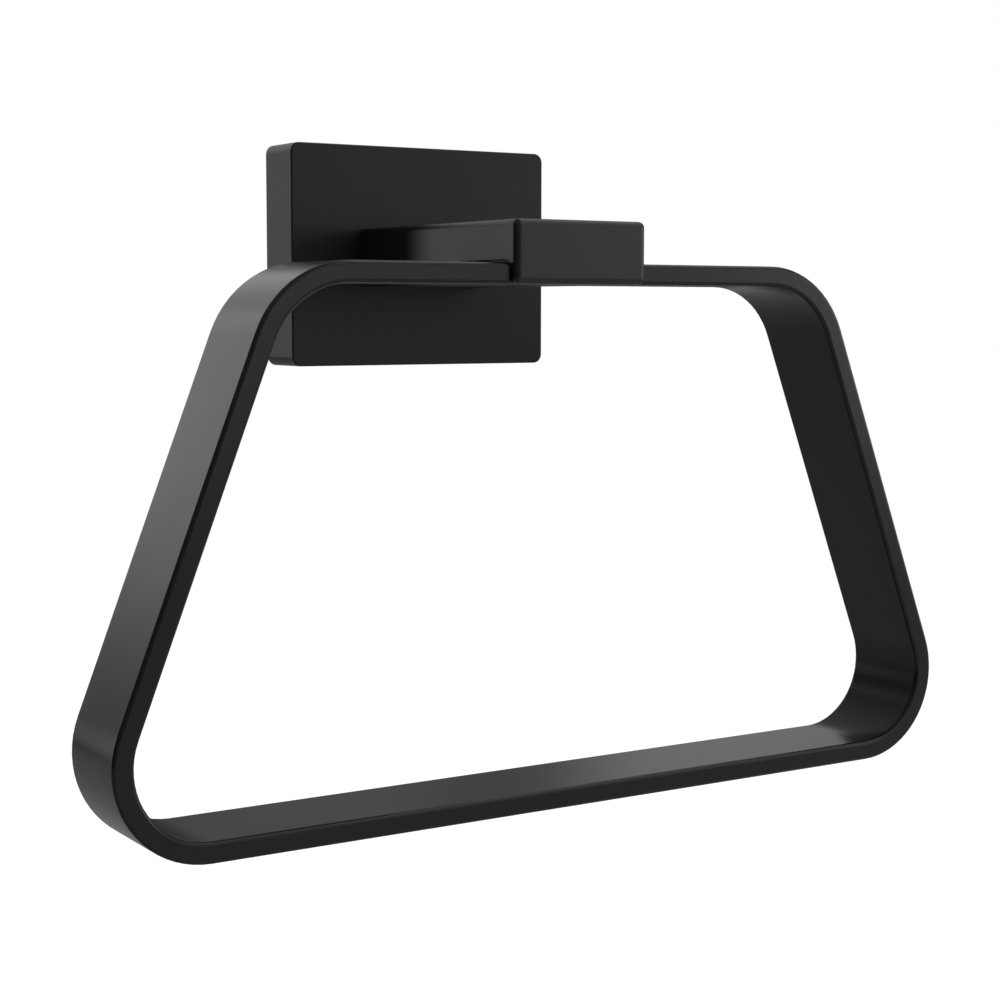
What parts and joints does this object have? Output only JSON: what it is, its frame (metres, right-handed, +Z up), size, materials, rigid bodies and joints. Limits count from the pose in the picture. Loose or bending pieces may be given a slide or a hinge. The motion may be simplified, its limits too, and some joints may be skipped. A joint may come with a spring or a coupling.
{
  "type": "towel ring",
  "caption": "Wall towel ring: a hollow rectangular plate on a folded bracket, a square arm, and a flat strip ring bent to a trapezoid with rounded corners.",
  "frame": {"origin": "on the wall, at the middle of the wall plate's outline, where the bracket's back lies on the wall", "axes": "+X to the right along the wall, +Y into the wall, +Z up"},
  "size_m": [0.234, 0.0892, 0.1615],
  "materials": {
    "black_coating": "satin black powder coat over metal",
    "zinc_plated_sheet": "bright zinc plated sheet steel",
    "black_screw": "black oxide",
    "plated_screw": "zinc plated"
  },
  "bodies": {
    "root": {"wall_plate": "black_coating", "arm": "black_coating", "ring": "black_coating", "wall_bracket": "zinc_plated_sheet", "set_screw": "black_screw", "ring_screw_left": "black_screw", "ring_screw_right": "black_screw", "arm_screw_left": "plated_screw", "arm_screw_right": "plated_screw", "lock_washer_left": "plated_screw", "lock_washer_right": "plated_screw"}
  },
  "joints": []
}
